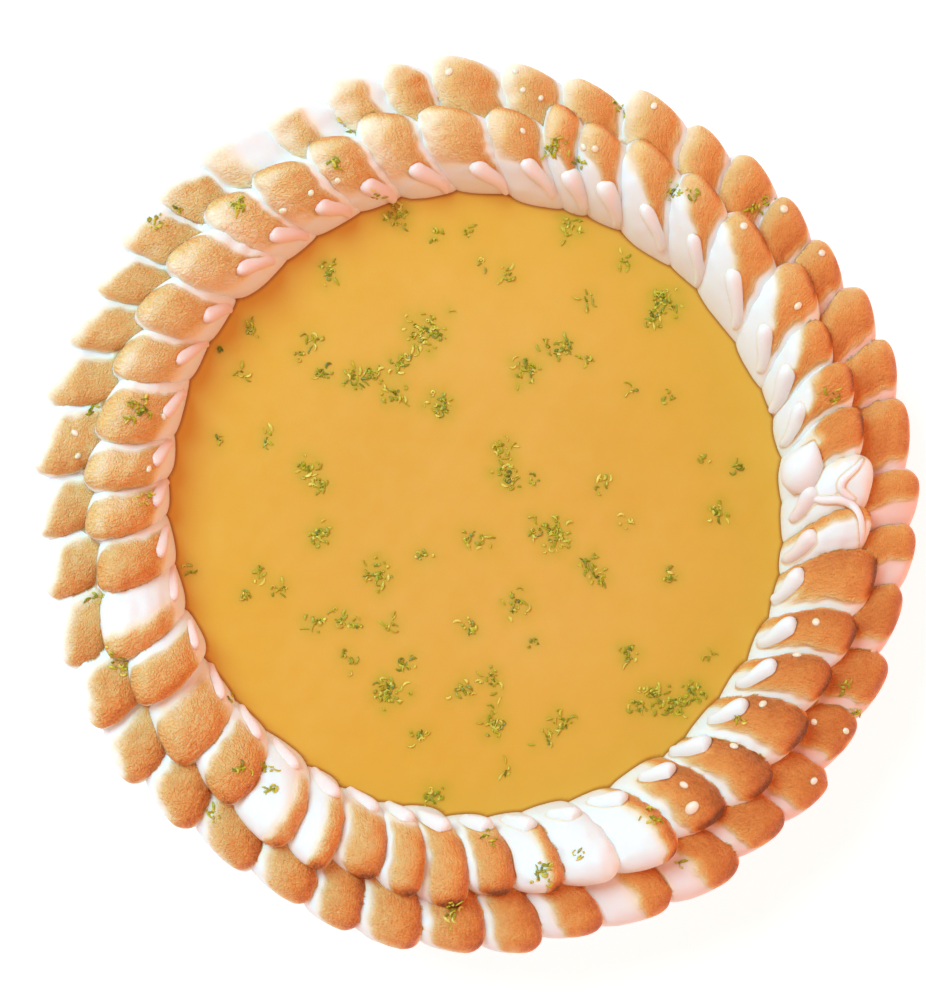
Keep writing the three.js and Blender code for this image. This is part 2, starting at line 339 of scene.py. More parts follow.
def sides_of(path):
    """The directions to the right of a path and up out of it, at each of its points."""
    ahead = np.gradient(path, axis=0)
    ahead /= np.linalg.norm(ahead, axis=1)[:, None]
    right = np.cross(ahead, [0, 0, 1])
    right /= np.linalg.norm(right, axis=1)[:, None]
    return right[:, None], np.cross(right, ahead)[:, None]


def skin_over(name, spine, rings):
    """A closed solid over all rings but the first and last, where it ends in the spine's ends."""
    rings = rings[1:-1]
    points = np.concatenate([[spine[0]], rings.reshape(-1, 3), [spine[-1]]])
    return mesh_of(name, points, tube_faces(*rings.shape[:2]))


def petal_solid(petal):
    """One petal with soft lumps, its points, and for each point what the toasting needs to know."""
    along, turn = petal_steps_along()[:, None], section_turns()[None, :]
    along, turn = np.broadcast_arrays(along, turn)
    rings = petal_surface(petal, along, turn)
    middle = np.stack([rings[..., 0].mean(1), rings[..., 1].mean(1), rings[..., 2].mean(1)], -1)[:, None]
    seed = petal.row.kind * 100 + petal.index
    out = rings - middle
    rings = rings + out / lump_reach * lump_height * lumps(rings, lump_size, seed)[..., None]
    ends = [petal_surface(petal, np.array(value), np.array(0.0)) for value in (0.0, 1.0)]
    points = np.concatenate([[ends[0]], rings.reshape(-1, 3), [ends[1]]])
    radius, angle, _, _ = along_petal(petal, along)
    flat = np.degrees(np.arctan2(rings[..., 1], rings[..., 0]))
    across = np.radians((flat - angle + 180) % 360 - 180) * radius
    facts = np.stack([
        np.full(along.shape, petal.row.kind), np.full(along.shape, petal.index), along,
        np.degrees(turn), across,
    ], -1).reshape(-1, 5)
    made = mesh_of("petal", points, tube_faces(*rings.shape[:2]))
    return made, points, np.concatenate([facts[:1], facts, facts[-1:]])


# Curled tongues on the inner wall, each from the foot of an inner petal's clockwise side outwards.
# Across its spine a tongue is steep on its counterclockwise side and slopes softly on the other.
curl_steps, curl_sides = 20, 20
curl_foot_radius, curl_tip_radius = 92.6, 98.8
curl_foot_place, curl_tip_place = 0.12, 0.46
curl_steep_side, curl_soft_side, curl_height = 2.2, 3.6, 2.1
curl_steep_power, curl_soft_power = 2.2, 1.8
curl_sway, curl_drop, curl_luck = 0.06, 2.6, 0.7
stub_side, stub_shorter, stub_shift = (325, 85), 1.2, 0.28
low_curl_side, plump_curl_side, thin_curl_side = (240, 100), (312, 80), (195, 70)


def curl_spine(petal):
    """The tongue's spine on the petal's skin. Tongues are shorter and flatter on some sides."""
    flatness = 0.5 + 0.5 * math.cos(math.radians(petal.edge + 60))
    stub = near_angle(petal.edge, *stub_side)
    tip_radius = curl_tip_radius - curl_drop * near_angle(petal.edge, *low_curl_side) - stub_shorter * stub
    tip_radius += curl_luck * wobble(petal.index, length_luck)
    foot_place = curl_foot_place + stub_shift * stub
    tip_place = curl_tip_place + 0.3 * flatness + 0.05 * wobble(petal.index, place_luck)
    spine = []
    for t in np.linspace(0, 1, curl_steps):
        radius = curl_foot_radius + (tip_radius - curl_foot_radius) * t
        place = foot_place + (tip_place - foot_place) * t**1.2 - curl_sway * math.sin(TAU * t)
        angle = petal.edge + petal.width * (place - 1) - swept(petal, radius)
        height = max(top_height(petal, radius, angle), filling_level + 0.5)
        flat = math.radians(angle)
        spine.append((radius * math.cos(flat), radius * math.sin(flat), height))
    return eased(np.array(spine))


def curl_solid(petal):
    spine = curl_spine(petal)
    t = np.linspace(0, 1, curl_steps)
    into_tip, into_foot = np.maximum((t - 0.72) / 0.28, 0), np.maximum((0.2 - t) / 0.2, 0)
    size = (0.6 + 0.4 * smooth(t, 0.1, 0.7)) * np.sqrt((1 - into_tip**2) * (1 - into_foot**2))
    plump = 0.28 * near_angle(petal.edge, *plump_curl_side) - 0.22 * near_angle(petal.edge, *thin_curl_side)
    size = size * (1 + 0.14 * wobble(petal.index, size_luck) + plump)
    right, upward = sides_of(spine)
    turns = np.radians(np.arange(curl_sides) * 360 / curl_sides)
    across, up = np.cos(turns), np.sin(turns)
    side = np.where(across > 0, curl_soft_side, curl_steep_side)
    power = np.where(across > 0, 2 / curl_soft_power, 2 / curl_steep_power)
    across = side * np.sign(across) * np.abs(across) ** power
    up = curl_height * np.sign(up) * np.abs(up) ** power
    rings = spine[:, None] + size[:, None, None] * (across[:, None] * right + up[:, None] * upward)
    return skin_over("curl", spine, rings)


# Where the piping closes: two thin ropes, and one plump lobe in place of a petal's tongue, as places
# in the photograph with a radius in millimetres
closing_ropes = [
    [(806, 496, 0.9), (822, 501, 1.3), (838, 499, 1.4), (852, 504, 1.3), (860, 516, 1.2),
     (862, 532, 1.1), (860, 548, 0.8)],
    [(863, 458, 0.5), (859, 465, 0.8), (852, 472, 1.1), (842, 480, 1.2), (840, 489, 1.2), (848, 496, 1.0),
     (856, 500, 0.7)],
    [(814, 441, 0.8), (812, 450, 3.2), (808, 460, 5.3), (803, 470, 6.4), (799, 480, 6.0), (796, 489, 3.8),
     (795, 495, 1.2)],
]
lobe_petal = 1
rope_steps, rope_sides = 34, 24


def rope_solid(knots, tree):
    """A round rope that lies half sunk in a surface and runs through a few places of it."""
    knots = np.array([(*seen_at(tree, column, line)[0], radius) for column, line, radius in knots])
    t = np.linspace(0, len(knots) - 1, rope_steps)
    path = eased(np.stack([np.interp(t, range(len(knots)), column) for column in knots.T], -1))
    spine, radii = path[:, :3], path[:, 3:, None]
    right, upward = sides_of(spine)
    turns = np.radians(np.arange(rope_sides) * 360 / rope_sides)[:, None]
    round_off = np.sqrt(np.maximum(1 - np.linspace(-1, 1, rope_steps)**8, 0))[:, None, None]
    rings = spine[:, None] + radii * round_off * (np.cos(turns) * right + np.sin(turns) * upward)
    return skin_over("rope", spine, rings)


# The core under the petals, as radius and height round its section
core_section = [
    (94.5, 28), (120, 28), (122.3, 34.5), (120.5, 38.5), (114, 42), (107.5, 44.5), (102, 42.5),
    (98, 37.5), (95.3, 31.5),
]


def ring_faces(loop, steps):
    """Faces of a closed ring turned from a loop of points."""
    faces = []
    for i in range(steps):
        j = (i + 1) % steps
        for a in range(loop):
            b = (a + 1) % loop
            faces.append((i * loop + a, j * loop + a, j * loop + b, i * loop + b))
    return faces


def core_solid():
    """The plain ring that the petals lie on and hide."""
    radius, height = np.array(core_section).T
    turns = np.radians(np.arange(core_steps) * 360 / core_steps)[:, None]
    points = np.stack([radius * np.cos(turns), radius * np.sin(turns), height + 0 * turns], -1)
    return mesh_of("core", points, ring_faces(len(core_section), core_steps))


def crust_rim(extra, steps):
    """The low arch of the crust's rim. extra grows it for a clearance."""
    inner = wall_radius(crust_spring, crust_inside)
    centre, across = (crust_rim_outer + inner) / 2, (crust_rim_outer - inner) / 2 + extra
    return arc(centre, crust_spring, across, crust_rim_top - crust_spring + extra, 0, 180, steps)


def space_below():
    """What the meringue keeps clear of: the crust's rim, the tin's bead and all but the filling's skin."""
    outside, deep, foot = tin_rim_radius + gap, tin_height / 2, filling_level - skin_depth
    return turned("space", [
        (0, deep), (outside, deep), (outside, tin_height), *crust_rim(gap, 12),
        (wall_radius(foot, filling_inset), foot), (0, foot),
    ], core_steps)


def boolean(base, operation, others):
    """base joined with or cut by the other objects, which are removed."""
    group = bpy.data.collections.new("others")
    bpy.context.scene.collection.children.link(group)
    for other in others:
        group.objects.link(other)
    change = base.modifiers.new("change", "BOOLEAN")
    change.operation, change.operand_type, change.solver = operation, "COLLECTION", "MANIFOLD"
    change.collection = group
    evaluated = base.evaluated_get(bpy.context.evaluated_depsgraph_get())
    mesh = bpy.data.meshes.new_from_object(evaluated)
    base.modifiers.clear()
    base.data = mesh
    base.data.materials.clear()
    for other in others:
        bpy.data.objects.remove(other)
    bpy.data.collections.remove(group)
    return base


def softened(made, values, rounds):
    """Each point's value, averaged a few times with those of the points it shares an edge with."""
    first, second = read_rows(made.data.edges, "vertices", 2, int).T
    count = len(values)
    shared = np.bincount(first, minlength=count) + np.bincount(second, minlength=count)
    for _ in range(rounds):
        beside = np.bincount(first, values[second], count) + np.bincount(second, values[first], count)
        values = (values + beside / shared) / 2
    return values


def drop_scraps(made):
    """Leaves only the largest connected skin of a mesh."""
    first, second = read_rows(made.data.edges, "vertices", 2, int).T
    label = np.arange(len(made.data.vertices))
    while True:
        before = label.copy()
        low = np.minimum(label[first], label[second])
        np.minimum.at(label, first, low)
        np.minimum.at(label, second, low)
        label = label[label]
        if (label == before).all():
            break
    keep = np.bincount(label).argmax()
    work = bmesh.new()
    work.from_mesh(made.data)
    work.verts.ensure_lookup_table()
    bmesh.ops.delete(work, geom=[work.verts[i] for i in np.flatnonzero(label != keep)], context="VERTS")
    work.to_mesh(made.data)
    work.free()


# Toasting, partly painted shade. The flame came from one side, so skin that faces it is darkest.
# Skin that faces the flame is also turned from the key light, so its browning is partly painted shade.
flame_and_shade_heading = np.array([math.cos(math.radians(-35)), math.sin(math.radians(-35)), 0.0])
# Painted shade at the meringue's foot: how high above the filling it reaches and how dark it is
foot_shade_height, foot_shade = 0.9, 0.25

# Sides of the pie where toasting, creases and painted pink shade differ: an angle, and how far to both
# sides it goes
bright_side, flame_side, far_side = (46, 62), (-38, 75), (158, 85)
long_cap_side, tilted_cap_side, lit_inner_side = (-30, 75), (-30, 70), (215, 75)
dull_side, rim_side, crease_side = (262, 55), (95, 60), (-28, 85)
pink_shade_side, tongue_pink_shade_side, closing_pink_shade_side = (-8, 90), (170, 120), (-5, 13)

# Petals that stayed pale: the share of their width, from the clockwise side, that is white
pale_outer = {0: 0.25, 13: 0.15, 14: 0.25, 15: 0.45, 34: 0.1, 35: 0.3, 36: 0.22, 42: 0.2}
pale_inner = {0: 0.75, 23: 0.4, 27: 0.5, 28: 0.35, 33: 0.45, 34: 0.85, 35: 0.5, 42: 0.5}


def place_across(turn):
    """Where a point lies between the clockwise neighbour's edge, 0, and the petal's own, 1."""
    across = np.cos(np.radians(turn))
    steep = crest_share * np.abs(across) ** (2 / sharp_side)
    soft = -tuck_share * np.abs(across) ** (2 / soft_side)
    return 1 - crest_share + np.where(across > 0, steep, soft)


def toast_of(points, normals, facts):
    """How toasted each point is, from 0 for white to 1 for dark brown."""
    kind, index, along, turn, _ = facts.T
    angle = np.degrees(np.arctan2(points[:, 1], points[:, 0]))
    outer, inner = kind == outer_row.kind, kind == inner_row.kind
    place = place_across(turn)
    ripple = 0.03 * lumps(points, 6, ripple_seed)
    pale = np.array([
        (pale_outer if k == outer_row.kind else pale_inner).get(int(i), 0) for i, k in zip(index, kind)])

    # Where the skin is toasted
    bright, flame, far = (near_angle(angle, *side) for side in (bright_side, flame_side, far_side))
    low = 0.01 + 0.05 * flame + pale
    cap = smooth(place + ripple, low, low + 0.18 + 0.3 * pale) * smooth(turn, 14, 34)
    white_tip = far * (0.05 + 0.22 * (1 - place))
    tip = np.where(outer, smooth(along + ripple, white_tip - 0.1, white_tip + 0.12), 1)
    last = 0.74 - 0.46 * bright + (0.12 + 0.5 * bright) * (1 - place)
    last = last + 0.3 * near_angle(angle, *long_cap_side) * smooth(place, 0.55, 0.95)
    end = np.where(inner, smooth(along + ripple, last + 0.1, last - 0.1), 1)
    cap = cap * tip * end

    # How dark it is there: toasting, with painted shade and painted warm light in it
    flame_and_shade_facing = normals @ flame_and_shade_heading
    petal_luck = np.array([wobble(i, k + 5) for i, k in zip(index, kind)])
    # Browner towards the flame's side of the pie, deepened there as painted warm light
    around = 0.5 + 0.5 * np.cos(np.radians(angle + 38))
    # Painted shade: the half of each cap that is turned from the key light is browner
    tilt = 0.26 * (0.5 - place) * np.cos(np.radians(angle - 95))
    tilt = tilt + np.where(inner, 0.3 * near_angle(angle, *tilted_cap_side) * (place - 0.55), 0)
    highest = np.where(inner, 0.1 + 0.6 * near_angle(angle, *lit_inner_side), 1)
    shade = 0.25 + 0.36 * around + 0.2 * np.clip(flame_and_shade_facing, np.where(inner, -0.2, -0.5), highest) + tilt
    shade = shade + 0.04 * petal_luck + np.where(outer, 0.12 * along, 0.02) - 0.2 * pale
    shade = shade - 0.05 * near_angle(angle, *dull_side)
    shade = shade * (1 - 0.45 * np.where(inner, smooth(along, 0.72, 0.98), 0))
    rim = smooth(along, 0.17, 0.04) * (0.1 + 0.3 * smooth(flame_and_shade_facing + 0.3 * around, 0.0, 0.5))
    rim = rim + smooth(along, 0.12, 0.03) * 0.2 * near_angle(angle, *rim_side)
    shade = shade + np.where(inner, rim, 0.2 * rim)
    toast = np.where(outer | inner, cap * np.clip(shade, 0.08, 1), 0)

    # Painted shade: a brown line along the filling, where the meringue meets it
    foot = smooth(points[:, 2], filling_level + foot_shade_height, filling_level) * foot_shade
    return np.clip(toast + foot, 0, 1)


def seam_of(points, petals, tongues, limit):
    """Each point's distance from the nearest tongue, or less than 0 for a point on a tongue."""
    seam = np.full(len(points), limit)
    for number, point in enumerate(points.tolist()):
        away = tongues.find_nearest(point, limit)[3]
        if away is None:
            continue
        seam[number] = away
        if away < 0.01:
            depth = petals.find_nearest(point, limit)[3]
            seam[number] = -(limit if depth is None else depth)
    return seam


def meringue():
    petals, before, facts = zip(*(
        petal_solid(petal_of(row, index))
        for row in (outer_row, inner_row) for index in range(len(row.edges))))
    petal_tree = tree_of(*petals)
    tongues = [curl_solid(petal_of(inner_row, index))
               for index in range(len(inner_row.edges)) if index != lobe_petal]
    tongues.extend(rope_solid(knots, petal_tree) for knots in closing_ropes)
    tongue_tree = tree_of(*tongues)
    made = boolean(core_solid(), "UNION", [*petals, *tongues])
    made = boolean(made, "DIFFERENCE", [space_below()])
    drop_scraps(made)
    made.name = made.data.name = "meringue_petals"

    before = np.concatenate(before)
    tree = KDTree(len(before))
    for number, point in enumerate(before.tolist()):
        tree.insert(point, number)
    tree.balance()
    points, normals = points_of(made), read_rows(made.data.vertex_normals, "vector", 3)
    nearest = np.array([tree.find(point)[1] for point in points.tolist()])
    facts = np.concatenate(facts)[nearest]
    kind, index, along, _, across = facts.T
    angle = np.degrees(np.arctan2(points[:, 1], points[:, 0]))
    toast = softened(made, toast_of(points, normals, facts), 2)
    give_values(made, "toast", toast)
    give_values(made, "seam", seam_of(points, petal_tree, tongue_tree, seam_reach))
    # Darker brown along the creases beside the tongues, more on one side and where the skin is browner
    give_values(made, "crease", 0.05 + 0.1 * near_angle(angle, *crease_side) + 0.12 * toast)
    # Painted pink shade on the white skin of the outer petals on one side
    outside = np.where(kind == outer_row.kind, 0.75 * near_angle(angle, *pink_shade_side), 0)
    give_values(made, "pink_shade", softened(made, outside, 3))
    # Painted pink shade on the tongues, most on one side and where the piping closes
    pink_shade_on_tongues = 0.6 * near_angle(angle, *tongue_pink_shade_side) + 0.3 * near_angle(angle, *closing_pink_shade_side)
    give_values(made, "tongue_pink_shade", pink_shade_on_tongues)
    give_values(made, "place", np.stack([across, along * petal_length, index * 7 + kind * 40], -1))
    dress(made, meringue_material(), 38)
    return made


# Materials

class Look:
    """One material's nodes, added and linked by short calls."""

    def __init__(self, name):
        self.material = bpy.data.materials.new(name)
        self.material.use_nodes = True
        self.tree = self.material.node_tree
        self.surface = self.tree.nodes["Principled BSDF"]

    def node(self, kind, **settings):
        made = self.tree.nodes.new("ShaderNode" + kind)
        for name, value in settings.items():
            setattr(made, name, value)
        return made

    def feed(self, socket, value):
        if isinstance(value, bpy.types.NodeSocket):
            self.tree.links.new(value, socket)
        else:
            socket.default_value = value

    def set(self, name, value):
        if isinstance(value, tuple) and len(value) == 3 and name != "Subsurface Radius":
            value = (*value, 1)
        self.feed(self.surface.inputs[name], value)

    def read(self, name, output="Fac"):
        return self.node("Attribute", attribute_name=name).outputs[output]

    def place(self, scale=(1, 1, 1), source=None):
        """Object coordinates, or a stored vector, stretched by a scale."""
        made = self.node("Mapping")
        self.feed(made.inputs["Vector"], source or self.node("TexCoord").outputs["Object"])
        made.inputs["Scale"].default_value = scale
        return made.outputs["Vector"]

    def split(self, vector, part):
        made = self.node("SeparateXYZ")
        self.feed(made.inputs["Vector"], vector)
        return made.outputs[part]

    def noise(self, scale, detail=2.0, roughness=0.5, vector=None):
        made = self.node("TexNoise")
        self.feed(made.inputs["Vector"], vector or self.place())
        for name, value in (("Scale", scale), ("Detail", detail), ("Roughness", roughness)):
            made.inputs[name].default_value = value
        return made.outputs["Fac"]

    def math(self, operation, first, second, clamp=False):
        made = self.node("Math", operation=operation, use_clamp=clamp)
        self.feed(made.inputs[0], first)
        self.feed(made.inputs[1], second)
        return made.outputs[0]

    def times(self, first, second):
        return self.math("MULTIPLY", first, second)

    def plus(self, first, second):
        return self.math("ADD", first, second)

    def between(self, value, low, high, start=0.0, end=1.0):
        """value taken from one range to another, softly and within it."""
        made = self.node("MapRange", interpolation_type="SMOOTHSTEP")
        for socket, setting in zip(made.inputs, (value, low, high, start, end)):
            self.feed(socket, setting)
        return made.outputs["Result"]

    def ramp(self, value, stops):
        made = self.node("ValToRGB")
        self.feed(made.inputs["Fac"], value)
        elements = made.color_ramp.elements
        while len(elements) < len(stops):
            elements.new(0.5)
        for element, (position, colour) in zip(elements, stops):
            element.position, element.color = position, (*colour, 1)
        return made.outputs["Color"]

    def mix(self, factor, first, second):
        made = self.node("Mix", data_type="RGBA")
        self.feed(made.inputs["Factor"], factor)
        for name, value in (("A", first), ("B", second)):
            socket = next(s for s in made.inputs if s.name == name and s.type == "RGBA")
            self.feed(socket, (*value, 1) if isinstance(value, tuple) else value)
        return next(s for s in made.outputs if s.type == "RGBA")

    def bump(self, height, distance):
        made = self.node("Bump")
        self.feed(made.inputs["Height"], height)
        made.inputs["Distance"].default_value = distance
        return made.outputs["Normal"]


def meringue_material():
    look = Look("meringue")
    seam = look.read("seam")
    on_tongue = look.between(seam, -0.15, 0.06, 1.0, 0.0)
    off_tongue = look.math("SUBTRACT", 1.0, on_tongue)
    crease = look.times(look.read("crease"), look.between(seam, 0.1, 0.9, 1.0, 0.0))
    toast = look.times(look.plus(look.read("toast"), crease), off_tongue)

    spot = look.read("place", "Vector")
    grain = look.noise(1.3, 3.0, 0.6, look.place((1.0, 0.32, 1.0), spot))
    fleck = look.noise(1.7, 2.0, 0.6, spot)
    pebble = look.between(look.noise(1.5, 1.0, 0.4, spot), 0.36, 0.64)
    patch = look.noise(170, 2.0, 0.5)
    wrinkled = look.between(look.split(look.place(), "X"), -0.09, 0.05, 1.0, 0.25)
    swing = look.plus(look.times(grain, 0.5), look.times(fleck, 0.45))
    swing = look.plus(swing, look.times(patch, 0.35))
    # Painted shade in the pits of the pebbled relief, and painted light on its tops
    pebble_shade_and_light = look.times(look.math("SUBTRACT", 0.5, pebble), wrinkled)
    swing = look.times(look.math("SUBTRACT", swing, 0.65), look.plus(wrinkled, 0.4))
    swing = look.plus(swing, look.times(pebble_shade_and_light, 0.16))
    browned = look.math("MULTIPLY", toast, look.plus(swing, 1.0), clamp=True)
    skin = look.ramp(browned, [
        (0.0, (0.88, 0.88, 0.88)), (0.1, (0.92, 0.79, 0.64)), (0.3, (0.93, 0.57, 0.22)),
        (0.5, (0.92, 0.36, 0.085)), (0.7, (0.72, 0.20, 0.035)), (1.0, (0.22, 0.06, 0.015)),
    ])
    # Painted pink shade, mixed into the white skin of the tongues and of the outer petals on one side
    pink_shade = look.times(look.read("tongue_pink_shade"), on_tongue)
    pink_shade = look.plus(pink_shade, look.times(look.read("pink_shade"), off_tongue))
    pink_shade = look.times(pink_shade, look.between(browned, 0.03, 0.3, 1.0, 0.0))
    look.set("Base Color", look.mix(pink_shade, skin, (0.91, 0.55, 0.46)))
    look.set("Roughness", look.between(toast, 0.1, 0.8, 0.55, 0.42))
    look.set("Specular IOR Level", 0.4)
    look.set("Subsurface Weight", 0.5)
    look.set("Subsurface Radius", (1.0, 0.5, 0.35))
    look.set("Subsurface Scale", 0.0025)
    relief = look.times(look.times(pebble, 0.4), wrinkled)
    relief = look.plus(look.plus(grain, fleck), relief)
    relief = look.times(relief, look.between(toast, 0.05, 0.4))
    look.set("Normal", look.bump(relief, 0.0009))
    return look.material


def filling_material():
    look = Look("lemon_filling")
    broad = look.noise(14, 3.0, 0.5)
    fine = look.noise(160, 3.0, 0.6)
    tone = look.plus(look.times(broad, 0.8), look.times(fine, 0.2))
    body = look.ramp(tone, [(0.3, (0.73, 0.39, 0.045)), (0.7, (0.78, 0.44, 0.08))])
    body = look.mix(look.times(look.read("outward"), 0.5), body, (0.76, 0.40, 0.022))
    near_zest = look.times(look.read("halo"), look.between(fine, 0.3, 0.7, 0.5, 1.0))
    body = look.mix(near_zest, body, (0.50, 0.38, 0.01))
    # Painted shade: darker amber along the gap beside the meringue
    look.set("Base Color", look.mix(look.read("edge"), body, (0.45, 0.15, 0.01)))
    look.set("Roughness", look.between(fine, 0.3, 0.7, 0.33, 0.42))
    look.set("Subsurface Weight", 0.25)
    look.set("Subsurface Radius", (1.0, 0.55, 0.12))
    look.set("Subsurface Scale", 0.003)
    look.set("Normal", look.bump(look.plus(broad, fine), 0.00012))
    return look.material


def zest_material():
    look = Look("citrus_zest")
    tint = look.plus(look.read("tint"), look.times(look.noise(900), 0.5))
    look.set("Base Color", look.ramp(tint, [
        (0.25, (0.11, 0.13, 0.003)), (0.5, (0.30, 0.29, 0.005)), (0.75, (0.56, 0.47, 0.015)),
        (1.0, (0.85, 0.68, 0.12)),
    ]))
    look.set("Roughness", 0.38)
    look.set("Subsurface Weight", 0.2)
    look.set("Subsurface Scale", 0.0008)
    look.set("Normal", look.bump(look.noise(1500, 2.0), 0.0002))
    return look.material


def syrup_material():
    look = Look("syrup")
    cloud = look.noise(300, 2.0)
    look.set("Base Color", look.ramp(cloud, [(0.3, (0.90, 0.70, 0.50)), (0.7, (0.95, 0.84, 0.70))]))
    look.set("Roughness", 0.12)
    look.set("Subsurface Weight", 0.4)
    look.set("Subsurface Scale", 0.001)
    look.set("Normal", look.bump(cloud, 0.0001))
    return look.material


def crust_material():
    look = Look("baked_crust")
    broad = look.noise(40, 4.0, 0.6)
    fine = look.noise(420, 4.0, 0.7)
    tone = look.plus(look.times(broad, 0.6), look.times(fine, 0.4))
    look.set("Base Color", look.ramp(tone, [
        (0.3, (0.36, 0.16, 0.05)), (0.5, (0.56, 0.31, 0.12)), (0.7, (0.72, 0.47, 0.22)),
    ]))
    look.set("Roughness", 0.75)
    look.set("Normal", look.bump(tone, 0.0008))
    return look.material


def tin_material():
    look = Look("tin")
    brushed = look.noise(60, 3.0, vector=look.place((1, 1, 12)))
    cloud = look.noise(25, 3.0)
    look.set("Base Color", look.ramp(cloud, [(0.3, (0.62, 0.63, 0.64)), (0.7, (0.74, 0.75, 0.76))]))
    look.set("Metallic", 1.0)
    look.set("Roughness", look.between(brushed, 0.3, 0.7, 0.28, 0.42))
    look.set("Normal", look.bump(brushed, 0.00008))
    return look.material


def floor_material():
    look = Look("pale_floor")
    cloud = look.noise(3, 2.0)
    look.set("Base Color", look.ramp(cloud, [(0.3, (0.50, 0.50, 0.50)), (0.7, (0.53, 0.53, 0.53))]))
    look.set("Roughness", 0.7)
    look.set("Emission Color", (0.84, 0.97, 1.0))
    look.set("Emission Strength", 0.74)
    return look.material


# Filling

# Width of the painted shade beside the meringue, and of the green round the zest
gap_shade_width, halo_width = 1.1, 2.6


def settle(rings):
    """Soft unevenness of the filling's top, less towards its edge."""
    top = rings[..., 2] > filling_level - 0.01
    radius = np.hypot(rings[..., 0], rings[..., 1])
    move = 0.16 * lumps(rings, 34, swell_seed) + 0.05 * lumps(rings, 9, dimple_seed)
    rings[..., 2] += np.where(top, move * smooth(radius, 96, 80), 0)
    return rings


def filling():
    steps = [*np.linspace(0, 80, 42), *np.arange(81, 94, 0.5), 97, 101]
    made = turned("lemon_filling", [
        *((radius, filling_level) for radius in steps),
        (wall_radius(filling_level, filling_inset), filling_level),
        (wall_radius(filling_floor + corner_rise, filling_inset), filling_floor + corner_rise),
        (tin_base_radius - 3 * corner_run - gap, filling_floor), (0, filling_floor),
    ], filling_steps, settle)
    made.data.flip_normals()
    dress(made, filling_material(), 50)
    return made


def tint_filling(made, meringue_tree, zest_places):
    """Stores where the filling is more golden, painted shade beside the meringue and green round the zest.
    """
    points = points_of(made)
    edge, halo = np.zeros(len(points)), np.zeros(len(points))
    radius = np.hypot(points[:, 0], points[:, 1])
    for i in np.flatnonzero((points[:, 2] > filling_level - 1) & (radius > 78) & (radius < 100)):
        distance = meringue_tree.find_nearest(points[i].tolist())[3]
        edge[i] = float(smooth(distance, gap_shade_width, 0.1))
    for x, y, weight in zest_places:
        away = (points[:, 0] - x) ** 2 + (points[:, 1] - y) ** 2
        halo = np.maximum(halo, weight * np.exp(-away / halo_width**2))
    give_values(made, "edge", edge)
    give_values(made, "halo", halo * 0.6)
    give_values(made, "outward", smooth(radius, 35, 88))


# Zest, as places in the photograph: column, line and how many shreds

zest_on_filling = [
    (424, 331, 26), (552, 535, 22), (388, 693, 18), (664, 302, 16), (508, 475, 12), (378, 574, 12),
    (494, 722, 12), (320, 537, 10), (440, 402, 12), (354, 379, 8), (392, 392, 8), (401, 363, 8),
    (397, 217, 12), (372, 373, 6), (326, 372, 5), (313, 340, 4), (305, 468, 8), (322, 484, 7),
    (502, 450, 8), (588, 564, 7), (599, 577, 6), (517, 603, 8), (604, 485, 4), (625, 523, 2),
    (468, 536, 4), (485, 540, 4), (534, 481, 3), (654, 319, 8), (624, 261, 4), (634, 391, 2),
    (668, 400, 3), (406, 662, 5), (315, 624, 5), (338, 615, 5), (356, 624, 4), (388, 625, 4),
    (348, 659, 4), (245, 596, 3), (281, 589, 4), (259, 573, 4), (419, 737, 5), (328, 270, 7),
    (252, 328, 6), (240, 372, 3), (507, 277, 5), (571, 228, 9), (525, 371, 12), (552, 350, 6),
    (566, 345, 7), (585, 360, 3), (587, 298, 4), (717, 513, 8), (737, 467, 4), (706, 460, 2),
    (670, 576, 4), (628, 652, 7), (468, 628, 6), (462, 690, 6), (490, 680, 8), (560, 722, 8),
    (545, 738, 4), (432, 797, 8), (425, 555, 4), (222, 438, 2), (268, 440, 3), (189, 570, 2),
    (655, 696, 12), (675, 704, 14), (694, 692, 10), (640, 706, 7), (712, 655, 2), (436, 236, 3),
    (468, 232, 3), (482, 264, 2), (506, 768, 2), (536, 644, 2), (222, 352, 2), (297, 352, 2),
]
zest_on_petals = [
    (155, 220, 5), (180, 208, 3), (235, 205, 7), (333, 165, 5), (345, 128, 2), (375, 195, 3),
    (556, 148, 12), (580, 165, 3), (619, 105, 3), (672, 192, 5), (690, 192, 4), (753, 205, 5),
    (768, 200, 2), (836, 396, 3), (137, 408, 10), (94, 410, 3), (145, 498, 4), (96, 597, 4),
    (113, 657, 3), (122, 668, 4), (212, 814, 4), (229, 697, 2), (238, 768, 4), (267, 768, 4),
    (272, 790, 3), (452, 910, 8), (490, 840, 4), (540, 870, 10), (580, 853, 3), (652, 817, 5),
    (678, 862, 2), (739, 720, 3), (843, 686, 3), (858, 712, 3),
]
zest_spread, zest_plenty = 4.4, 2.3
zest_below_seed, zest_above_seed = 31, 32
shred_sides, shred_steps = 5, 7
shred_length, shred_width, shred_height = (0.9, 3.6), (0.4, 0.95), 0.24
shred_bend, shred_lift = 1.4, 0.5


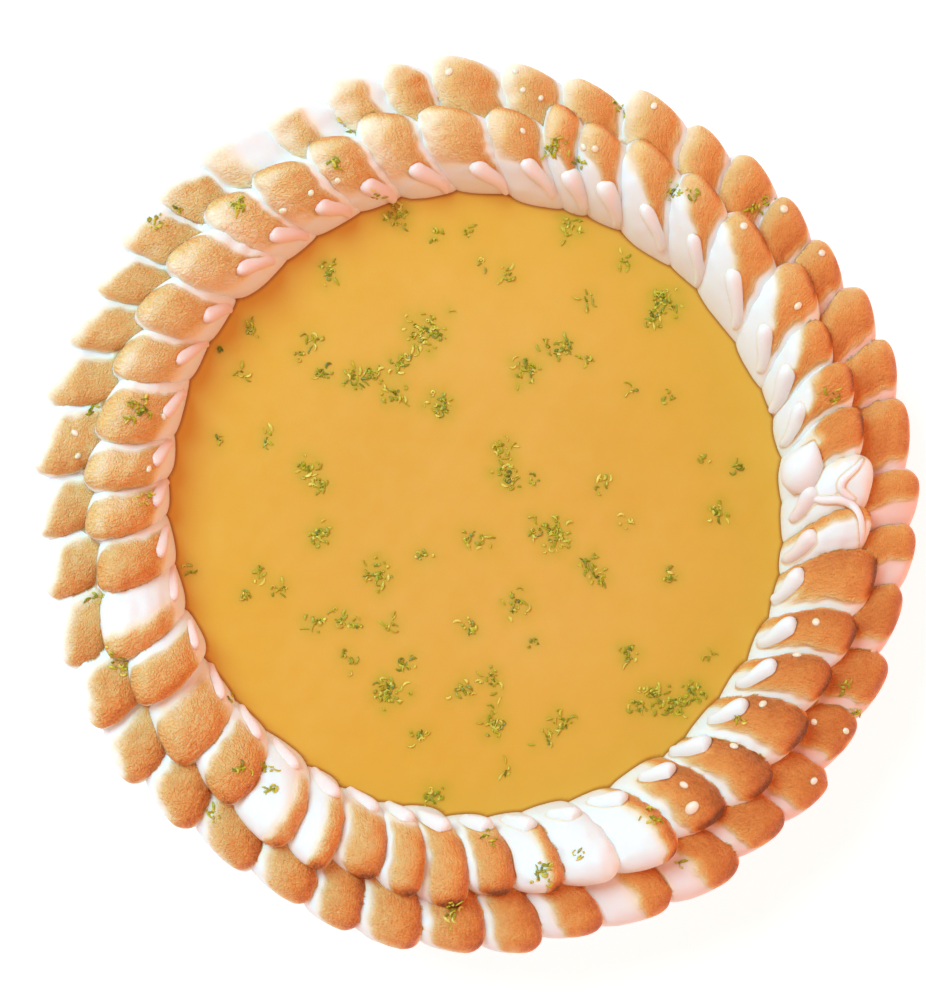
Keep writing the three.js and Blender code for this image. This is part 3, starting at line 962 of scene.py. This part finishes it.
def shred(tree, column, line, draw):
    """One curled shred that follows the surface seen at a pixel: its points, or None if it misses."""
    seen = seen_at(tree, column, line)
    if seen is None:
        return None
    place, _, aside, beside = seen
    length, width = draw.uniform(*shred_length), draw.uniform(*shred_width)
    turn, bend = draw.uniform(0, TAU), draw.normal(0, shred_bend)
    lift = draw.uniform(0.0, shred_lift)
    rings, here = [], Vector(place)
    for share in np.linspace(-1, 1, shred_steps):
        way = turn + bend * share
        ahead = aside * math.cos(way) + beside * math.sin(way)
        here = here + ahead * (length / shred_steps)
        found, up, _, _ = tree.find_nearest(here)
        side = up.cross(ahead).normalized()
        centre = found + up * (shred_height / 2 + lift * (1 - abs(share)))
        half = width / 2 * (1 - 0.75 * abs(share) ** 2.5)
        roll = math.radians(draw.uniform(-8, 8))
        for k in range(shred_sides):
            around = TAU * k / shred_sides + roll
            rings.append(centre + side * (half * math.cos(around)) + up * (shred_height * math.sin(around)))
    return [rings[0].lerp(rings[2], 0.5), *rings, rings[-1].lerp(rings[-3], 0.5)]


def zest(name, tree, spots, seed):
    """Many shreds as one mesh, and where they lie."""
    draw = np.random.default_rng(seed)
    points, faces, tints, places = [], [], [], []
    pattern = tube_faces(shred_steps, shred_sides)
    for column, line, count in spots:
        reach = zest_spread * math.sqrt(count) / 2
        for _ in range(round(count * zest_plenty)):
            aside, along = draw.normal(0, reach, 2)
            made = shred(tree, column + aside * 0.8, line + along * 0.8, draw)
            if made is None:
                continue
            first = len(points)
            points.extend(tuple(point) for point in made)
            faces.extend(tuple(first + corner for corner in face) for face in pattern)
            fringe = math.hypot(aside, along) / (2 * reach)
            tints.extend([draw.uniform(0, 0.5) + 0.3 * min(fringe, 1)] * len(made))
            places.append((made[0].x, made[0].y, min(1.0, 0.4 + count / 16)))
    piece = mesh_of(name, points, faces)
    give_values(piece, "tint", tints)
    dress(piece, zest_material(), 60)
    return piece, places


# Syrup beads, as places in the photograph: column, line and radius in millimetres

syrup_beads = [
    (784, 209, 1.3), (744, 226, 1.2), (798, 306, 1.2), (822, 253, 1.1), (449, 72, 1.2), (311, 193, 1.0),
    (338, 181, 1.0), (515, 71, 1.0), (523, 90, 0.9), (541, 98, 0.9), (654, 106, 1.1), (583, 147, 1.2),
    (595, 149, 1.1), (523, 131, 0.9), (163, 417, 1.1), (149, 469, 1.0), (75, 433, 1.0), (78, 456, 0.9),
    (816, 622, 1.2), (797, 655, 1.3), (763, 704, 1.3), (814, 722, 1.0), (846, 731, 1.0), (814, 781, 1.1),
    (734, 746, 1.2), (684, 785, 1.2), (692, 808, 2.0), (283, 211, 1.2),
]
bead_rings, bead_sides = 7, 20
bead_height, bead_stretch = 0.6, 0.2


def syrup(tree):
    pattern = tube_faces(bead_rings, bead_sides)
    points, faces = [], []
    for number, (column, line, radius) in enumerate(syrup_beads):
        seen = seen_at(tree, column, line)
        if seen is None:
            continue
        place, normal, aside, beside = seen
        long = 1 + bead_stretch * wobble(number, bead_luck)
        first = len(points)
        points.append(tuple(place + normal * radius * bead_height))
        for i in range(1, bead_rings + 1):
            tilt = math.pi * i / (bead_rings + 1)
            for k in range(bead_sides):
                around = TAU * k / bead_sides
                away = aside * math.cos(around) * long + beside * math.sin(around) / long
                rise = normal * radius * bead_height * math.cos(tilt)
                points.append(tuple(place + away * radius * math.sin(tilt) + rise))
        points.append(tuple(place - normal * radius * bead_height))
        faces.extend(tuple(first + corner for corner in face) for face in pattern)
    made = mesh_of("syrup_beads", points, faces)
    dress(made, syrup_material())
    return made


# Crust and tin

def crumble(rings):
    """The crust's uneven, blistered skin."""
    middle = np.hypot(rings[..., 0], rings[..., 1])
    rim = smooth(middle, 112, 118)
    move = 0.35 * lumps(rings, 9, crumb_seed) + 0.2 * lumps(rings, 3.5, blister_seed)
    rings[..., 2] += rim * move
    return rings


def crust():
    made = turned("baked_crust", [
        (0, crust_floor), (tin_base_radius - 2 * corner_run, crust_floor),
        (wall_radius(crust_floor + corner_rise, crust_outside), crust_floor + corner_rise),
        (wall_radius(tin_height + gap, crust_outside), tin_height + gap),
        (tin_rim_radius - 2 * tin_bead - gap, tin_height + gap), *crust_rim(0, 14),
        (wall_radius(crust_top + corner_rise, crust_inside), crust_top + corner_rise),
        (tin_base_radius - 3 * corner_run, crust_top), (0, crust_top),
    ], crust_steps, crumble)
    dress(made, crust_material(), 45)
    return made


def tin():
    bead = arc(tin_rim_radius - tin_bead, tin_height - tin_sheet / 2, tin_bead, tin_bead, -150, 150, 14)
    made = turned("pie_tin", [
        (0, 0), (tin_base_radius - corner_run, 0), (wall_radius(corner_rise, 0), corner_rise),
        (wall_radius(tin_height - tin_sheet, 0), tin_height - tin_sheet), *bead,
        (wall_radius(tin_height, tin_sheet), tin_height),
        (wall_radius(tin_sheet + corner_rise, tin_sheet), tin_sheet + corner_rise),
        (tin_base_radius - 2 * corner_run, tin_sheet), (0, tin_sheet),
    ], tin_steps)
    dress(made, tin_material(), 30)
    return made


# Camera, floor and light

def make_camera():
    across, up, back = camera_axes()
    data = bpy.data.cameras.new("camera")
    data.sensor_width, data.lens = sensor, lens
    data.clip_start, data.clip_end = nearest_seen, farthest_seen
    made = bpy.data.objects.new("camera", data)
    place = (camera_target + back * camera_distance) * MM
    made.matrix_world = Matrix.Translation(place) @ Matrix((across, up, back)).transposed().to_4x4()
    bpy.context.scene.collection.objects.link(made)
    bpy.context.scene.camera = made


def make_floor():
    corners = [(x * floor_reach, y * floor_reach, 0) for x, y in ((-1, -1), (1, -1), (1, 1), (-1, 1))]
    made = mesh_of("floor", corners, [(0, 1, 2, 3)])
    made.data.materials.append(floor_material())


def make_light(name, azimuth, elevation, distance, size, power, colour):
    data = bpy.data.lights.new(name, "AREA")
    data.shape, data.size, data.energy, data.color = "DISK", size, power, colour
    made = bpy.data.objects.new(name, data)
    turn, rise = math.radians(azimuth), math.radians(elevation)
    away = Vector((math.cos(turn) * math.cos(rise), math.sin(turn) * math.cos(rise), math.sin(rise)))
    made.location = away * distance
    made.rotation_euler = away.to_track_quat("Z", "Y").to_euler()
    bpy.context.scene.collection.objects.link(made)


def make_lights():
    make_light("key", azimuth=148, elevation=48, distance=1.3, size=0.7, power=16.5,
               colour=(0.34, 0.82, 1.0))
    make_light("warm", azimuth=-15, elevation=22, distance=1.4, size=0.8, power=4,
               colour=(1.0, 0.42, 0.22))
    world = bpy.data.worlds.new("studio")
    world.use_nodes = True
    sky = world.node_tree.nodes["Background"]
    sky.inputs["Color"].default_value = (1.0, 0.56, 0.42, 1)
    sky.inputs["Strength"].default_value = 0.80
    bpy.context.scene.world = world
    bpy.context.scene.view_settings.view_transform = "Standard"


def build():
    petals = meringue()
    petal_tree = tree_of(petals)
    lemon = filling()
    zest_below, places = zest("zest_on_filling", tree_of(lemon), zest_on_filling, zest_below_seed)
    tint_filling(lemon, petal_tree, places)
    zest_above, _ = zest("zest_on_petals", petal_tree, zest_on_petals, zest_above_seed)
    beads = syrup(petal_tree)
    pastry, dish = crust(), tin()
    for piece, node, slot in (
        (petals, "meringue", "meringue"), (zest_above, "meringue", "zest"), (beads, "meringue", "syrup"),
        (lemon, "filling", "filling"), (zest_below, "filling", "zest"),
        (pastry, "crust", "crust"), (dish, "tin", "tin"),
    ):
        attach(piece, "root")
        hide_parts(node)


build()
make_floor()
make_lights()
make_camera()
